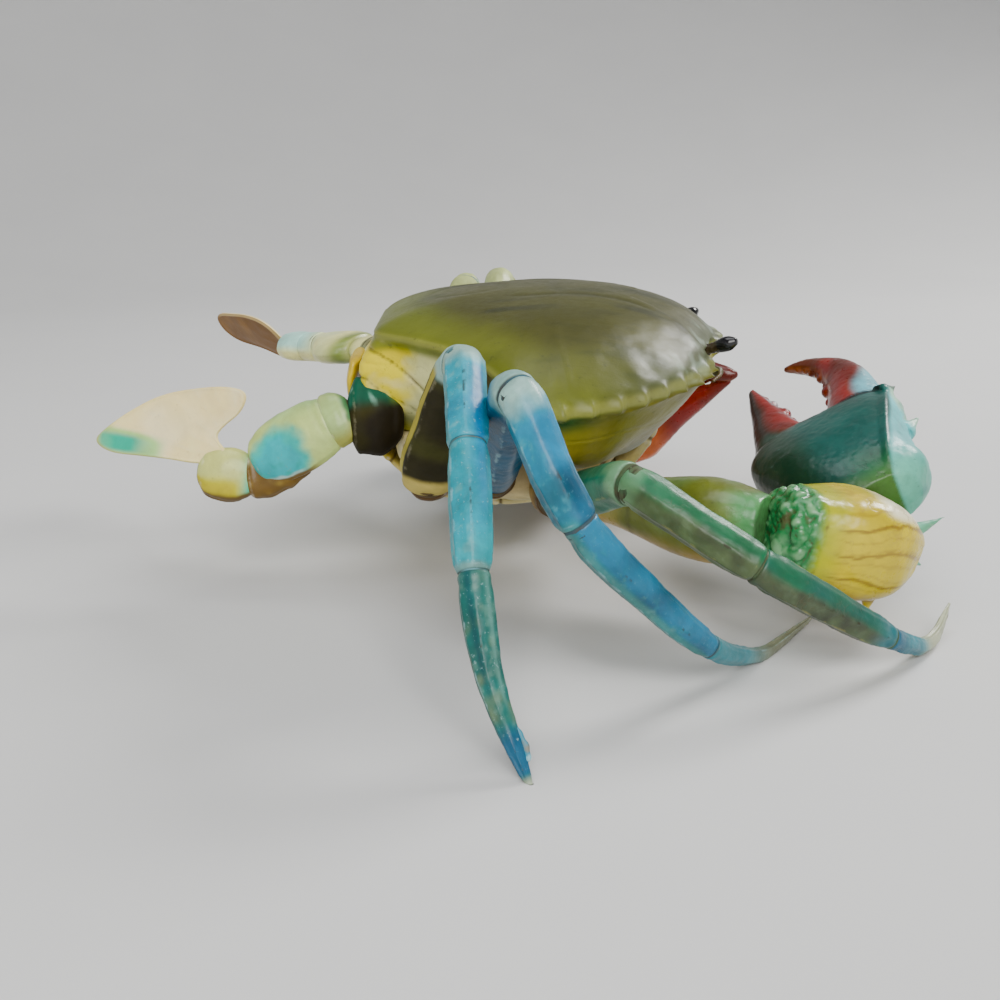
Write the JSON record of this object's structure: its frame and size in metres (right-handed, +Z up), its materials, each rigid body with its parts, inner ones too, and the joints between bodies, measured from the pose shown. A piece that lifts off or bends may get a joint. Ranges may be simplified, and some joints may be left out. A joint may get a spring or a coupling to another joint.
{
  "type": "mud crab",
  "caption": "Life-size still mud crab with painted shell plates, red-fingered claws, pointed walking legs and raised rear paddles, standing on its leg tips.",
  "frame": {"origin": "centre of the bounding box's footprint, at the level of the leg tips that the crab stands on", "axes": "+X towards the crab's front, +Y towards its left side, +Z up"},
  "size_m": [0.212, 0.2374, 0.0754],
  "materials": {
    "eye_black": "glossy",
    "shell_brown": "glossy painted crab shell",
    "shell_cream": "glossy painted crab shell",
    "shell_dark_green": "glossy painted crab shell",
    "shell_deep_blue": "glossy painted crab shell",
    "shell_green": "glossy painted crab shell",
    "shell_light_blue": "glossy painted crab shell",
    "shell_olive": "glossy painted crab shell",
    "shell_pale": "glossy painted crab shell",
    "shell_red": "glossy painted crab shell",
    "shell_yellow": "glossy painted crab shell"
  },
  "bodies": {
    "root": {"abdomen": "shell_yellow", "antenna_left": "shell_cream", "antenna_right": "shell_cream", "carapace": "shell_olive", "claw_left_arm": "shell_olive", "claw_left_carpus": "shell_yellow", "claw_left_finger": "shell_red", "claw_left_palm": "shell_dark_green", "claw_right_arm": "shell_olive", "claw_right_carpus": "shell_yellow", "claw_right_finger": "shell_red", "claw_right_palm": "shell_dark_green", "eye_left": "eye_black", "eye_right": "eye_black", "leg_2_left_carpus": "shell_green", "leg_2_left_coxa": "shell_cream", "leg_2_left_dactylus": "shell_light_blue", "leg_2_left_merus": "shell_green", "leg_2_left_propodus": "shell_green", "leg_2_right_carpus": "shell_green", "leg_2_right_coxa": "shell_cream", "leg_2_right_dactylus": "shell_light_blue", "leg_2_right_merus": "shell_green", "leg_2_right_propodus": "shell_green", "leg_3_left_carpus": "shell_deep_blue", "leg_3_left_coxa": "shell_cream", "leg_3_left_dactylus": "shell_light_blue", "leg_3_left_merus": "shell_deep_blue", "leg_3_left_propodus": "shell_deep_blue", "leg_3_right_carpus": "shell_deep_blue", "leg_3_right_coxa": "shell_cream", "leg_3_right_dactylus": "shell_light_blue", "leg_3_right_merus": "shell_deep_blue", "leg_3_right_propodus": "shell_deep_blue", "leg_4_left_carpus": "shell_light_blue", "leg_4_left_coxa": "shell_cream", "leg_4_left_dactylus": "shell_light_blue", "leg_4_left_merus": "shell_brown", "leg_4_left_propodus": "shell_light_blue", "leg_4_right_carpus": "shell_light_blue", "leg_4_right_coxa": "shell_cream", "leg_4_right_dactylus": "shell_light_blue", "leg_4_right_merus": "shell_brown", "leg_4_right_propodus": "shell_light_blue", "mouthpart_left": "shell_cream", "mouthpart_right": "shell_cream", "paddle_left_carpus": "shell_pale", "paddle_left_coxa": "shell_dark_green", "paddle_left_dactylus": "shell_cream", "paddle_left_ischium": "shell_pale", "paddle_left_merus": "shell_light_blue", "paddle_left_propodus": "shell_pale", "paddle_right_carpus": "shell_pale", "paddle_right_coxa": "shell_dark_green", "paddle_right_dactylus": "shell_cream", "paddle_right_ischium": "shell_pale", "paddle_right_merus": "shell_light_blue", "paddle_right_propodus": "shell_pale", "thorax": "shell_cream"}
  },
  "joints": []
}
